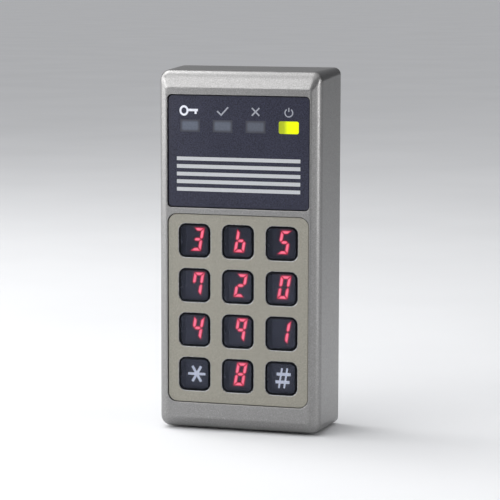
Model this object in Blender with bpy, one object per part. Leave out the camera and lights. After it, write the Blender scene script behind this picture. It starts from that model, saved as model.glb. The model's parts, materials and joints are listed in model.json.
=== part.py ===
"""Wall-mounted keypad access reader with scrambling lit keys.

A die-cast front cover carries a smoked window, a painted keypad bezel, twelve
smoked keys and two circuit boards. It hangs on two lugs of the base plate that
is screwed to the wall, and one screw in its lower edge holds it.

Frame: the origin is the middle of the back face, on the wall. +X is to the
right as a person using the keys sees it, +Y goes into the wall, +Z is up.
Depths called d below are millimetres behind the flat front of the cover.
"""

import math

import bmesh
import bpy

# ---------------------------------------------------------------- dimensions
MM = 0.001  # every number below is in millimetres
DEPTH = 33.0  # flat front to wall

# front cover
BACK_X, BACK_Z, BACK_R = 36.2, 76.9, 3.0  # half width, half height, corner at the wall
EDGE_X, EDGE_Z, EDGE_R = 35.3, 76.2, 4.2  # the same where the sloping bands start
BAND_D = 3.3  # depth of the sloping bands
FLAT_X, FLAT_LOW, FLAT_TOP, FLAT_R = 31.45, -71.35, 69.2, 1.0
COVER_RIM_D = 32.7
RIDGE_ROUND, FLAT_ROUND = 2.5, 0.5
CORE_BACK_X, CORE_BACK_Z = 34.05, 74.7
CORE_EDGE_X, CORE_EDGE_Z, CORE_EDGE_D = 33.2, 74.1, 4.4
CORE_FLAT_X, CORE_FLAT_LOW, CORE_FLAT_TOP, CORE_FLAT_D = 31.6, -71.5, 69.7, 2.5

# window and its printed indicators
WIN_X, WIN_LOW, WIN_TOP, WIN_R = 30.9, 18.55, 66.15, 2.0
PANEL_D, PANEL_STEP_D, PANEL_BACK_D = 0.8, 2.8, 4.0
PANEL_FLANGE_X, PANEL_FLANGE_LOW, PANEL_FLANGE_TOP = 31.2, 17.5, 67.1
INDICATORS = (("lock", -21.0), ("accept", -6.8), ("reject", 7.5), ("power", 21.8))
IND_Z, IND_W, IND_H = 53.1, 8.6, 5.2

# keypad
BEZ_X, BEZ_LOW, BEZ_TOP, BEZ_R = 30.8, -64.85, 16.0, 4.0
BEZEL_D, BEZEL_STEP_D, BEZEL_BACK_D = 0.55, 2.8, 3.6
BEZEL_FLANGE_X, BEZEL_FLANGE_LOW, BEZEL_FLANGE_TOP = 31.2, -66.1, 17.0
PITCH = 19.05
GRID_Z = -24.0  # middle of the key grid
HOLE_W, HOLE_H, HOLE_R = 13.75, 14.28, 3.0
KEY_GAP = 0.4
KEY_D, KEY_BACK_D = 0.6, 5.4
KEY_ROUND = 0.6
FLANGE_W, FLANGE_H, FLANGE_R, FLANGE_D = 15.6, 16.1, 3.6, 3.9
KEY_LEG_IN, KEY_LEG_OUT, KEY_LEG_Z, KEY_LEG_D = 6.3, 7.7, 1.6, 11.0
KEY_TRAVEL = 1.5

# what is behind the keys
DISPLAY_W, DISPLAY_H, DISPLAY_D, DISPLAY_BACK_D = 10.0, 13.0, 7.2, 13.9
MAT_D, MAT_BACK_D = 12.9, 13.9
MAT_X, MAT_LOW, MAT_TOP = 31.0, -62.0, 14.0
DOME_X, DOME_R, DOME_TOP_R, DOME_D = 7.4, 1.75, 1.2, 11.3
KEY_PCB_D, KEY_PCB_BACK_D = 14.2, 15.8
MAIN_PCB_D, MAIN_PCB_BACK_D = 20.0, 21.6
BOARD_X, BOARD_Z = 32.3, 73.1
BOSSES = ((-26.0, 70.2), (26.0, 70.2), (-26.0, -69.5), (26.0, -69.5))
BOSS_R, BOSS_HOLE_R, BOSS_D = 2.6, 1.45, 13.9
SCREW_R, SCREW_HEAD_R = 1.1, 2.5

# base plate
BASE_D = 30.8
BASE_X, BASE_Z, BASE_R = 33.2, 73.8, 2.5
BASE_RIM_D, BASE_RIM_T = 27.4, 1.2
SLOT_Z, SLOT_W, SLOT_L = 41.75, 5.2, 9.4  # 83.5 mm apart
ENTRY_Z, ENTRY_R = -24.0, 8.0
GROMMET_HOLE_R = 4.4
COVER_SCREW_D = 23.5


def depth(d):
    """Y, in millimetres, of a depth behind the flat front."""
    return d - DEPTH


# ---------------------------------------------------------------- scene
for old in list(bpy.data.objects):
    bpy.data.objects.remove(old, do_unlink=True)

PARTS = bpy.data.collections.new("keypad_access_reader")
HELPERS = bpy.data.collections.new("cutters")
for made in (PARTS, HELPERS):
    bpy.context.scene.collection.children.link(made)


def material(name, colour, roughness, metallic=0.0, alpha=1.0, glow=0.0):
    mat = bpy.data.materials.new(name)
    mat.use_nodes = True
    shader = mat.node_tree.nodes["Principled BSDF"]
    shader.inputs["Base Color"].default_value = (*colour, 1.0)
    shader.inputs["Roughness"].default_value = roughness
    shader.inputs["Metallic"].default_value = metallic
    shader.inputs["Alpha"].default_value = alpha
    if glow:
        shader.inputs["Emission Color"].default_value = (*colour, 1.0)
        shader.inputs["Emission Strength"].default_value = glow
    mat.diffuse_color = (*colour, alpha)
    return mat


SILVER = material("silver_paint", (0.42, 0.42, 0.43), 0.38, 0.75)
BEIGE = material("beige_paint", (0.33, 0.31, 0.26), 0.45, 0.3)
SMOKED_WINDOW = material("smoked_window", (0.035, 0.036, 0.05), 0.15, alpha=0.9)
SMOKED_KEY = material("smoked_key", (0.02, 0.022, 0.03), 0.1, alpha=0.75)
DISPLAY = material("display_body", (0.06, 0.012, 0.014), 0.4)
SILICONE = material("silicone", (0.05, 0.05, 0.055), 0.7)
BOARD = material("circuit_board", (0.02, 0.11, 0.05), 0.4)
BLACK = material("black_plastic", (0.02, 0.02, 0.022), 0.45)
WHITE = material("diffuser_white", (0.55, 0.57, 0.6), 0.5)
LIT = material("power_light", (0.75, 0.9, 0.05), 0.4, glow=1.5)
LED = material("led_lens", (0.6, 0.62, 0.55), 0.2)
STEEL = material("steel", (0.55, 0.55, 0.56), 0.3, 1.0)
BASE = material("base_steel", (0.38, 0.38, 0.39), 0.4, 0.8)
RUBBER = material("rubber", (0.03, 0.03, 0.03), 0.8)
GREEN_BLOCK = material("terminal_green", (0.03, 0.2, 0.09), 0.45)
BRASS = material("nickel_brass", (0.6, 0.56, 0.45), 0.3, 1.0)


# ---------------------------------------------------------------- tools
def place(name, bm, mat, coll=None, at=(0.0, 0.0, 0.0), smooth=30.0):
    """A mesh object from bm, whose points are in millimetres about `at`."""
    bmesh.ops.recalc_face_normals(bm, faces=bm.faces)
    bmesh.ops.scale(bm, vec=(MM, MM, MM), verts=bm.verts)
    mesh = bpy.data.meshes.new(name)
    bm.to_mesh(mesh)
    bm.free()
    obj = bpy.data.objects.new(name, mesh)
    obj.location = [c * MM for c in at]
    (coll or PARTS).objects.link(obj)
    if mat:
        mesh.materials.append(mat)
    mesh.shade_smooth()
    mesh.set_sharp_from_angle(angle=math.radians(smooth))
    return obj


def copy_of(name, obj, at):
    """Another object that shares obj's mesh."""
    other = bpy.data.objects.new(name, obj.data)
    other.location = [c * MM for c in at]
    PARTS.objects.link(other)
    return other


def helper(obj):
    obj.hide_render = True
    obj.display_type = "WIRE"
    return obj


def block(x0, x1, d0, d1, z0, z1, bm=None):
    """A box added to bm, from a cube primitive. d0 < d1 are depths."""
    bm = bm or bmesh.new()
    made = bmesh.ops.create_cube(bm, size=1.0)["verts"]
    bmesh.ops.scale(bm, vec=(x1 - x0, d1 - d0, z1 - z0), verts=made)
    mid = ((x0 + x1) / 2, depth((d0 + d1) / 2), (z0 + z1) / 2)
    bmesh.ops.translate(bm, vec=mid, verts=made)
    return bm


def extrude_face(bm, face, by):
    """Extrudes one face and gives the new end face."""
    made = bmesh.ops.extrude_face_region(bm, geom=[face])["geom"]
    points = [g for g in made if isinstance(g, bmesh.types.BMVert)]
    bmesh.ops.translate(bm, vec=by, verts=points)
    end = next(g for g in made if isinstance(g, bmesh.types.BMFace))
    bmesh.ops.delete(bm, geom=[face], context="FACES_ONLY")
    return end


def extrude_front(bm, steps):
    """Extrudes the face that looks along -Y `steps` times, 2 units each."""
    bm.faces.ensure_lookup_table()
    front = min(bm.faces, key=lambda f: f.calc_center_median().y)
    for _ in range(steps):
        front = extrude_face(bm, front, (0, -2, 0))


def lofted(sections, seg=4, bm=None):
    """A solid through rounded rectangles (d, x0, x1, z0, z1, r), from the wall
    side to the front. It starts as a bevelled cube whose front is extruded once
    for each further section; each ring then takes its section's outline."""
    one = bmesh.new()
    bmesh.ops.create_cube(one, size=2.0)
    along = [e for e in one.edges if abs(e.verts[0].co.y - e.verts[1].co.y) > 1]
    bmesh.ops.bevel(
        one, geom=along, offset=0.5, segments=seg, profile=0.5, affect="EDGES"
    )
    extrude_front(one, len(sections) - 2)
    for v in one.verts:
        d, x0, x1, z0, z1, r = sections[round((1 - v.co.y) / 2)]
        sx, sz = (1 if v.co.x > 0 else -1), (1 if v.co.z > 0 else -1)
        arc = ((v.co.x - sx * 0.5) / 0.5, (v.co.z - sz * 0.5) / 0.5)
        cx = x1 - r if sx > 0 else x0 + r
        cz = z1 - r if sz > 0 else z0 + r
        v.co = (cx + arc[0] * r, depth(d), cz + arc[1] * r)
    return merged(one, bm)


def turned(sections, n=16, x=0.0, z=0.0, bm=None):
    """A round solid through circles (d, r) about an axis along Y."""
    one = bmesh.new()
    bmesh.ops.create_cone(
        one, cap_ends=True, segments=n, radius1=1, radius2=1, depth=2
    )
    turn = [(v, v.co.copy()) for v in one.verts]
    for v, co in turn:
        v.co = (co.x, co.z, co.y)
    bmesh.ops.recalc_face_normals(one, faces=one.faces)
    extrude_front(one, len(sections) - 2)
    for v in one.verts:
        d, r = sections[round((1 - v.co.y) / 2)]
        v.co = (x + v.co.x * r, depth(d), z + v.co.z * r)
    return merged(one, bm)


def merged(one, bm):
    """Adds the points and faces of `one` to bm, or gives `one` back."""
    if bm is None:
        return one
    scratch = bpy.data.meshes.new("scratch")
    one.to_mesh(scratch)
    one.free()
    bm.from_mesh(scratch)
    bpy.data.meshes.remove(scratch)
    return bm


def combine(obj, bm, operation):
    """Boolean of obj with the solid in bm, kept as a hidden helper."""
    tool = place(f"{obj.name}_{operation.lower()}", bm, None, HELPERS)
    helper(tool)
    modifier = obj.modifiers.new(operation.title(), "BOOLEAN")
    modifier.operation = operation
    modifier.solver = "EXACT"
    modifier.object = tool
    return tool


def apply_all(obj):
    """Puts the result of obj's modifiers in its mesh and drops their helpers."""
    bpy.context.view_layer.update()
    graph = bpy.context.evaluated_depsgraph_get()
    mesh = bpy.data.meshes.new_from_object(obj.evaluated_get(graph))
    mesh.name = obj.name
    tools = [m.object for m in obj.modifiers]
    obj.modifiers.clear()
    obj.data = mesh
    for tool in tools:
        bpy.data.objects.remove(tool, do_unlink=True)
    return obj


def front_round(d, x0, x1, z0, z1, r, radius, steps=3):
    """Sections that round the front edge of a block with a quarter circle."""
    out = []
    for i in range(steps + 1):
        a = math.pi / 2 * i / steps
        inset = radius * (1 - math.cos(a))
        fore = radius * math.sin(a)
        out.append(
            (
                d + radius - fore,
                x0 + inset,
                x1 - inset,
                z0 + inset,
                z1 - inset,
                max(r - inset, 0.25),
            )
        )
    return out


# ---------------------------------------------------------------- front cover
def ridge(a, b, c, radius, steps):
    """Sections that round the ridge at b, on the way from a to c."""
    keys = range(6)
    near = []
    for end in (a, c):
        run = math.hypot(end[0] - b[0], end[2] - b[2])
        near.append(tuple(b[k] + (end[k] - b[k]) * radius / run for k in keys))
    out = []
    for i in range(steps + 1):
        t = i / steps
        out.append(
            tuple(
                (1 - t) ** 2 * near[0][k] + 2 * t * (1 - t) * b[k] + t**2 * near[1][k]
                for k in keys
            )
        )
    return out


back = (COVER_RIM_D, -BACK_X, BACK_X, -BACK_Z, BACK_Z, BACK_R)
edge = (BAND_D, -EDGE_X, EDGE_X, -EDGE_Z, EDGE_Z, EDGE_R)
flat = (0.0, -FLAT_X, FLAT_X, FLAT_LOW, FLAT_TOP, FLAT_R)
middle = (0.0, -20.0, 20.0, -60.0, 60.0, 0.9)
outer = (
    [back]
    + ridge(back, edge, flat, RIDGE_ROUND, 5)
    + ridge(edge, flat, middle, FLAT_ROUND, 2)
)
cover = place("front_cover", lofted(outer, 6), SILVER, smooth=35)
core = [
    (DEPTH + 1, -CORE_BACK_X, CORE_BACK_X, -CORE_BACK_Z, CORE_BACK_Z, 2.0),
    (CORE_EDGE_D, -CORE_EDGE_X, CORE_EDGE_X, -CORE_EDGE_Z, CORE_EDGE_Z, 2.2),
    (CORE_FLAT_D, -CORE_FLAT_X, CORE_FLAT_X, CORE_FLAT_LOW, CORE_FLAT_TOP, 1.6),
]
combine(cover, lofted(core, 3), "DIFFERENCE")

bosses = bmesh.new()
for bx, bz in BOSSES:
    turned([(BOSS_D, BOSS_R), (2.1, BOSS_R)], 16, bx, bz, bosses)
block(-5, 5, 19.5, 27.0, -75.3, -73.0, bosses)
combine(cover, bosses, "UNION")

holes = bmesh.new()
lofted([(6, -WIN_X, WIN_X, WIN_LOW, WIN_TOP, WIN_R), (-2, -WIN_X, WIN_X, WIN_LOW, WIN_TOP, WIN_R)], 5, holes)
lofted([(6, -BEZ_X, BEZ_X, BEZ_LOW, BEZ_TOP, BEZ_R), (-2, -BEZ_X, BEZ_X, BEZ_LOW, BEZ_TOP, BEZ_R)], 6, holes)
for bx, bz in BOSSES:
    turned([(BOSS_D + 1, BOSS_HOLE_R), (6.5, BOSS_HOLE_R)], 12, bx, bz, holes)
for side in (-1, 1):  # pockets that the base plate's lugs reach into
    block(side * 18 - 4.5, side * 18 + 4.5, 25.1, 27.5, 73.0, 75.9, holes)
combine(cover, holes, "DIFFERENCE")


def upright(sections, d, x=0.0, n=16, bm=None):
    """A round solid about an axis along Z, through circles (z, r) going up."""
    one = bmesh.new()
    bmesh.ops.create_cone(
        one, cap_ends=True, segments=n, radius1=1, radius2=1, depth=2
    )
    one.faces.ensure_lookup_table()
    top = max(one.faces, key=lambda f: f.calc_center_median().z)
    for _ in range(len(sections) - 2):
        top = extrude_face(one, top, (0, 0, 2))
    for v in one.verts:
        z, r = sections[round((v.co.z + 1) / 2)]
        v.co = (x + v.co.x * r, depth(d) + v.co.y * r, z)
    return merged(one, bm)


# counterbored hole for the cover screw, in the lower wall
combine(
    cover,
    upright([(-78.5, 3.1), (-74.75, 3.1), (-74.75, 1.85), (-71.0, 1.85)], COVER_SCREW_D),
    "DIFFERENCE",
)
apply_all(cover)

# ---------------------------------------------------------------- smoked window
panel_face = (-WIN_X + 0.3, WIN_X - 0.3, WIN_LOW + 0.3, WIN_TOP - 0.3, WIN_R - 0.3)
panel_flange = (-PANEL_FLANGE_X, PANEL_FLANGE_X, PANEL_FLANGE_LOW, PANEL_FLANGE_TOP, 1.5)
place(
    "window_panel",
    lofted(
        [(PANEL_BACK_D, *panel_flange), (PANEL_STEP_D, *panel_flange)]
        + [(PANEL_STEP_D, *panel_face)]
        + front_round(PANEL_D, *panel_face, 0.25, 2),
        5,
    ),
    SMOKED_WINDOW,
)

# ---------------------------------------------------------------- keypad bezel
bezel_face = (-BEZ_X + 0.3, BEZ_X - 0.3, BEZ_LOW + 0.3, BEZ_TOP - 0.3, BEZ_R - 0.3)
bezel_flange = (-BEZEL_FLANGE_X, BEZEL_FLANGE_X, BEZEL_FLANGE_LOW, BEZEL_FLANGE_TOP, 3.0)
bezel = place(
    "keypad_bezel",
    lofted(
        [(BEZEL_BACK_D, *bezel_flange), (BEZEL_STEP_D, *bezel_flange)]
        + [(BEZEL_STEP_D, *bezel_face)]
        + front_round(BEZEL_D, *bezel_face, 0.25, 2),
        5,
    ),
    BEIGE,
)
COLUMNS = (("left", -PITCH), ("mid", 0.0), ("right", PITCH))
ROWS = tuple((f"row{n + 1}", GRID_Z + (1.5 - n) * PITCH) for n in range(4))
key_holes = bmesh.new()
for _, kz in ROWS:
    for _, kx in COLUMNS:
        sections = []
        for d, grow in ((6.0, 0.0), (0.95, 0.0), (0.67, 0.12), (0.55, 0.4), (-1.0, 0.4)):
            w, h = HOLE_W / 2 + grow, HOLE_H / 2 + grow
            sections.append((d, kx - w, kx + w, kz - h, kz + h, HOLE_R + grow))
        lofted(sections, 4, key_holes)
combine(bezel, key_holes, "DIFFERENCE")
apply_all(bezel)

# ---------------------------------------------------------------- keys
cap_w, cap_h = HOLE_W / 2 - KEY_GAP, HOLE_H / 2 - KEY_GAP
cap_r = HOLE_R - KEY_GAP
flange = (-FLANGE_W / 2, FLANGE_W / 2, -FLANGE_H / 2, FLANGE_H / 2, FLANGE_R)
cap = (-cap_w, cap_w, -cap_h, cap_h, cap_r)
key = place(
    "key",
    lofted(
        [(KEY_BACK_D, *flange), (FLANGE_D, *flange), (FLANGE_D, *cap)]
        + front_round(KEY_D, *cap, KEY_ROUND, 3),
        4,
    ),
    SMOKED_KEY,
)
legs = bmesh.new()
for side in (-1, 1):
    x0, x1 = sorted((side * KEY_LEG_IN, side * KEY_LEG_OUT))
    block(x0, x1, KEY_BACK_D - 0.6, KEY_LEG_D, -KEY_LEG_Z, KEY_LEG_Z, legs)
combine(key, legs, "UNION")
apply_all(key)
key_mesh = key.data
bpy.data.objects.remove(key, do_unlink=True)
for row, kz in ROWS:
    for column, kx in COLUMNS:
        one = bpy.data.objects.new(f"key_{row}_{column}", key_mesh)
        one.location = (kx * MM, 0, kz * MM)
        PARTS.objects.link(one)

# ---------------------------------------------------------------- digit displays
display_box = (-DISPLAY_W / 2, DISPLAY_W / 2, -DISPLAY_H / 2, DISPLAY_H / 2, 0.4)
first = None
for row, kz in ROWS:
    for column, kx in COLUMNS:
        if row == "row4" and column != "mid":
            continue  # the star and hash keys have fixed symbols
        name = f"display_{row}_{column}"
        if first is None:
            shape = lofted(
                [(DISPLAY_BACK_D, *display_box), (DISPLAY_D, *display_box)], 1
            )
            first = place(name, shape, DISPLAY, at=(kx, 0, kz))
        else:
            copy_of(name, first, (kx, 0, kz))

# ---------------------------------------------------------------- silicone mat
mat_outline = (-MAT_X, MAT_X, MAT_LOW, MAT_TOP, 2.0)
key_mat = place(
    "key_mat", lofted([(MAT_BACK_D, *mat_outline), (MAT_D, *mat_outline)], 3), SILICONE
)
domes, windows = bmesh.new(), bmesh.new()
for row, kz in ROWS:
    for column, kx in COLUMNS:
        for side in (-1, 1):
            turned(
                [(MAT_D + 0.5, DOME_R), (MAT_D - 0.4, DOME_R), (DOME_D, DOME_TOP_R)],
                10,
                kx + side * DOME_X,
                kz,
                domes,
            )
        if row != "row4" or column == "mid":
            w, h = DISPLAY_W / 2 + 0.3, DISPLAY_H / 2 + 0.3
            block(kx - w, kx + w, MAT_D - 1, MAT_BACK_D + 1, kz - h, kz + h, windows)
combine(key_mat, domes, "UNION")
combine(key_mat, windows, "DIFFERENCE")
apply_all(key_mat)

# ---------------------------------------------------------------- circuit boards
outline = (-BOARD_X, BOARD_X, -BOARD_Z, BOARD_Z, 2.0)
for name, d0, d1 in (
    ("key_pcb", KEY_PCB_D, KEY_PCB_BACK_D),
    ("control_pcb", MAIN_PCB_D, MAIN_PCB_BACK_D),
):
    board = place(name, lofted([(d1, *outline), (d0, *outline)], 3), BOARD)
    cuts = bmesh.new()
    for bx, bz in BOSSES:
        turned([(d1 + 1, 1.5), (d0 - 1, 1.5)], 12, bx, bz, cuts)
    if name == "control_pcb":  # clears the base plate's tab and the cover screw
        block(-7, 7, d0 - 1, d1 + 1, -80, -67, cuts)
    combine(board, cuts, "DIFFERENCE")
    apply_all(board)

spacer = place(
    "spacer_top_left", turned([(19.7, 2.4), (16.1, 2.4)], 16), BRASS,
    at=(BOSSES[0][0], 0, BOSSES[0][1]),
)
bore = combine(spacer, turned([(21, 1.5), (15, 1.5)], 16), "DIFFERENCE")
bore.location = spacer.location
apply_all(spacer)
screw = place(
    "board_screw_top_left",
    turned(
        [(23.2, 1.9), (22.9, SCREW_HEAD_R), (21.9, SCREW_HEAD_R), (21.9, SCREW_R)]
        + [(8.0, SCREW_R), (7.3, 0.6)],
        14,
    ),
    STEEL,
    at=(BOSSES[0][0], 0, BOSSES[0][1]),
)
for where, (bx, bz) in zip(("top_right", "bottom_left", "bottom_right"), BOSSES[1:]):
    copy_of(f"spacer_{where}", spacer, (bx, 0, bz))
    copy_of(f"board_screw_{where}", screw, (bx, 0, bz))

place("board_socket", block(-13, 13, 16.1, 18.0, 26, 31.2), BLACK)
place("board_header", block(-13, 13, 18.3, 19.7, 26, 31.2), BLACK)

# ---------------------------------------------------------------- indicators
shield = place("light_shield", block(-27.2, 27.2, 4.3, 13.9, 48.6, 57.6), BLACK)
channels = bmesh.new()
for _, ix in INDICATORS:
    block(ix - 4.7, ix + 4.7, 3.5, 15, IND_Z - 3.0, IND_Z + 3.0, channels)
combine(shield, channels, "DIFFERENCE")
apply_all(shield)
lens_box = (-IND_W / 2, IND_W / 2, -IND_H / 2, IND_H / 2, 0.8)
lens_mesh = led_mesh = None
for label, ix in INDICATORS:
    at = (ix, 0, IND_Z)
    lens = place(
        f"indicator_lens_{label}",
        lofted([(5.5, *lens_box), (4.3, *lens_box)], 3),
        LIT if label == "power" else WHITE,
        at=at,
    )
    led = place(
        f"indicator_led_{label}",
        turned([(13.9, 1.9), (13.2, 1.9), (13.2, 1.5), (10.0, 1.5), (9.0, 1.1), (8.6, 0.5)], 14),
        LED,
        at=at,
    )

# ---------------------------------------------------------------- control board parts
place("buzzer", turned([(28.6, 5.6), (28.2, 6.0), (21.9, 6.0)], 24, -20, 36), BLACK)
place("relay", block(12, 27, 21.9, 30.2, 36, 46.5), BLACK)
place("controller_chip", block(-7, 7, 21.9, 23.6, 4, 18), BLACK)
place(
    "capacitor",
    turned([(30.2, 3.5), (29.9, 4.0), (21.9, 4.0)], 20, 22, 8),
    STEEL,
)
tamper = place("tamper_switch", block(-26, -19.5, 21.9, 26.4, -6, 0.5), BLACK)
combine(tamper, turned([(30.5, 1.6), (26.0, 1.6)], 12, -22.75, -2.75), "UNION")
apply_all(tamper)

terminal = place("terminal_block", block(-20.4, 20.4, 21.9, 30.2, -61, -50.5), GREEN_BLOCK)
entries = bmesh.new()
for n in range(8):
    tx = (n - 3.5) * 5.08
    block(tx - 1.5, tx + 1.5, 23.0, 26.2, -56, -49, entries)  # where each wire goes in
    turned([(31.5, 1.7), (28.2, 1.7)], 10, tx, -57.2, entries)  # over its screw
combine(terminal, entries, "DIFFERENCE")
apply_all(terminal)

# ---------------------------------------------------------------- base plate
plate_outline = (-BASE_X, BASE_X, -BASE_Z, BASE_Z, BASE_R)
base = place(
    "base_plate", lofted([(DEPTH, *plate_outline), (BASE_RIM_D, *plate_outline)], 4), BASE
)
inner = (
    -BASE_X + BASE_RIM_T,
    BASE_X - BASE_RIM_T,
    -BASE_Z + BASE_RIM_T,
    BASE_Z - BASE_RIM_T,
    BASE_R - BASE_RIM_T,
)
combine(base, lofted([(BASE_D, *inner), (BASE_RIM_D - 2, *inner)], 4), "DIFFERENCE")
apply_all(base)
adds = bmesh.new()
for side in (-1, 1):
    block(side * 18 - 4, side * 18 + 4, 25.5, BASE_D + 0.8, 70.4, 72.0, adds)
block(-5, 5, 20.0, BASE_D + 0.8, -72.0, -70.0, adds)
combine(base, adds, "UNION")
hooks = bmesh.new()
for side in (-1, 1):
    block(side * 18 - 4, side * 18 + 4, 25.5, 27.0, 71.2, 75.5, hooks)
combine(base, hooks, "UNION")
cuts = bmesh.new()
turned([(DEPTH + 2, ENTRY_R), (BASE_D - 2, ENTRY_R)], 32, 0, ENTRY_Z, cuts)
for z, w, h in ((SLOT_Z, SLOT_W, SLOT_L), (-SLOT_Z, SLOT_L, SLOT_W)):
    slot = (-w / 2, w / 2, z - h / 2, z + h / 2, SLOT_W / 2 - 0.01)
    lofted([(DEPTH + 2, *slot), (BASE_D - 2, *slot)], 6, cuts)
upright([(-76, 1.85), (-66, 1.85)], COVER_SCREW_D, 0.0, 16, cuts)
combine(base, cuts, "DIFFERENCE")
apply_all(base)

grommet = place(
    "cable_grommet",
    turned([(32.8, 7.65), (30.5, 7.65), (30.5, 9.6), (29.3, 9.6), (28.9, 9.2)], 32, 0, ENTRY_Z),
    RUBBER,
)
combine(grommet, turned([(34, GROMMET_HOLE_R), (27, GROMMET_HOLE_R)], 24, 0, ENTRY_Z), "DIFFERENCE")
apply_all(grommet)

cover_screw = place(
    "cover_screw",
    upright(
        [(-76.45, 2.2), (-76.1, 2.7), (-75.1, 2.7), (-75.1, 1.5), (-68.9, 1.5), (-68.3, 1.0)],
        COVER_SCREW_D,
    ),
    STEEL,
)
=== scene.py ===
import json
import math

import bmesh
import bpy
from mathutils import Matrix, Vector

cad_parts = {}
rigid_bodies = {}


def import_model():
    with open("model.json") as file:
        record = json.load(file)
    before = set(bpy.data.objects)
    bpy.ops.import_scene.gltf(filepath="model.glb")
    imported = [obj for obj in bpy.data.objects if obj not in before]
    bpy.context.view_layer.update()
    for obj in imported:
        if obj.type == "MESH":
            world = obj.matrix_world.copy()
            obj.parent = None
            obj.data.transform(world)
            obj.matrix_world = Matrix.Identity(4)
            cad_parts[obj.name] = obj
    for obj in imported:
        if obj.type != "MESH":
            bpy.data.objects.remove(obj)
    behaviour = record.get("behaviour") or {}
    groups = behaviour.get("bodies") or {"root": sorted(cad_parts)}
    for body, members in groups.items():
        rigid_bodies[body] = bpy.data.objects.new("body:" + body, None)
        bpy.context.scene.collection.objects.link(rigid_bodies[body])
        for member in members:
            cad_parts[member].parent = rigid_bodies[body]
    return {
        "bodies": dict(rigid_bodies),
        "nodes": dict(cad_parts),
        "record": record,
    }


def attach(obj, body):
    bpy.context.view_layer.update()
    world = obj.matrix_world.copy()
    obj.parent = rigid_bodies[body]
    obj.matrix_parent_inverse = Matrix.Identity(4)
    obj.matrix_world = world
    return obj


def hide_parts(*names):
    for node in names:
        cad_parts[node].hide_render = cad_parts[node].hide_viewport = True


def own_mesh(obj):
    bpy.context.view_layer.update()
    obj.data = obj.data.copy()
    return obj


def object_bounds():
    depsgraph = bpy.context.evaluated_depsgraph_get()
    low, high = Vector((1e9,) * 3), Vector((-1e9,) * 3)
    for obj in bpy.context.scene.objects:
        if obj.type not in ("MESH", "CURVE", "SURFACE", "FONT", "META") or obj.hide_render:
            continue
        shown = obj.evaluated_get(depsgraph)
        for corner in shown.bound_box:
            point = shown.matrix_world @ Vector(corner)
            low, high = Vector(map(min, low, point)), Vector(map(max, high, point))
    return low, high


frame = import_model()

CAD_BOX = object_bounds()
RECORD = frame["record"]
HOUSING = next(name for name in frame["bodies"] if name == "housing")
MM = 0.001

# ---------------------------------------------------------------- dimensions
# Repeated from part.py, in millimetres. d is a depth behind the flat front.
DEPTH = 33.0
BACK_X, BACK_Z, BACK_R = 36.2, 76.9, 3.0
EDGE_X, EDGE_Z, EDGE_R = 35.3, 76.2, 4.2
BAND_D = 3.3
FLAT_X, FLAT_LOW, FLAT_TOP, FLAT_R = 31.45, -71.35, 69.2, 1.0
COVER_RIM_D = 32.7
RIDGE_ROUND, FLAT_ROUND = 2.5, 0.5
CORE_BACK_X, CORE_BACK_Z = 34.05, 74.7
CORE_EDGE_X, CORE_EDGE_Z, CORE_EDGE_D = 33.2, 74.1, 4.4
CORE_FLAT_X, CORE_FLAT_LOW, CORE_FLAT_TOP, CORE_FLAT_D = 31.6, -71.5, 69.7, 2.5
WIN_X, WIN_LOW, WIN_TOP, WIN_R = 30.9, 18.55, 66.15, 2.0
PANEL_D, PANEL_STEP_D, PANEL_BACK_D = 0.8, 2.8, 4.0
PANEL_FLANGE_X, PANEL_FLANGE_LOW, PANEL_FLANGE_TOP = 31.2, 17.5, 67.1
INDICATORS = (("lock", -21.0), ("accept", -6.8), ("reject", 7.5), ("power", 21.8))
IND_Z, IND_W, IND_H = 53.1, 8.6, 5.2
BEZ_X, BEZ_LOW, BEZ_TOP, BEZ_R = 30.8, -64.85, 16.0, 4.0
BEZEL_D, BEZEL_STEP_D, BEZEL_BACK_D = 0.55, 2.8, 3.6
BEZEL_FLANGE_X, BEZEL_FLANGE_LOW, BEZEL_FLANGE_TOP = 31.2, -66.1, 17.0
PITCH = 19.05
GRID_Z = -24.0
HOLE_W, HOLE_H, HOLE_R = 13.75, 14.28, 3.0
KEY_GAP = 0.4
KEY_D, KEY_BACK_D = 0.6, 5.4
KEY_ROUND = 0.6
FLANGE_W, FLANGE_H, FLANGE_R, FLANGE_D = 15.6, 16.1, 3.6, 3.9
KEY_LEG_IN, KEY_LEG_OUT, KEY_LEG_Z, KEY_LEG_D = 6.3, 7.7, 1.6, 11.0
KEY_TRAVEL = 1.5
DISPLAY_W, DISPLAY_H, DISPLAY_D, DISPLAY_BACK_D = 10.0, 13.0, 7.2, 13.9
MAT_D, MAT_BACK_D = 12.9, 13.9
MAT_X, MAT_LOW, MAT_TOP = 31.0, -62.0, 14.0
DOME_X, DOME_R, DOME_TOP_R, DOME_D = 7.4, 1.75, 1.2, 11.3
BOSSES = ((-26.0, 70.2), (26.0, 70.2), (-26.0, -69.5), (26.0, -69.5))
BOSS_R, BOSS_HOLE_R, BOSS_D = 2.6, 1.45, 13.9
BASE_D = 30.8
BASE_X, BASE_Z, BASE_R = 33.2, 73.8, 2.5
BASE_RIM_D, BASE_RIM_T = 27.4, 1.2
SLOT_Z, SLOT_W, SLOT_L = 41.75, 5.2, 9.4
ENTRY_Z, ENTRY_R = -24.0, 8.0
GROMMET_HOLE_R = 4.4
COVER_SCREW_D = 23.5
COLUMNS = (("left", -PITCH), ("mid", 0.0), ("right", PITCH))
ROWS = tuple((f"row{n + 1}", GRID_Z + (1.5 - n) * PITCH) for n in range(4))

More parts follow.
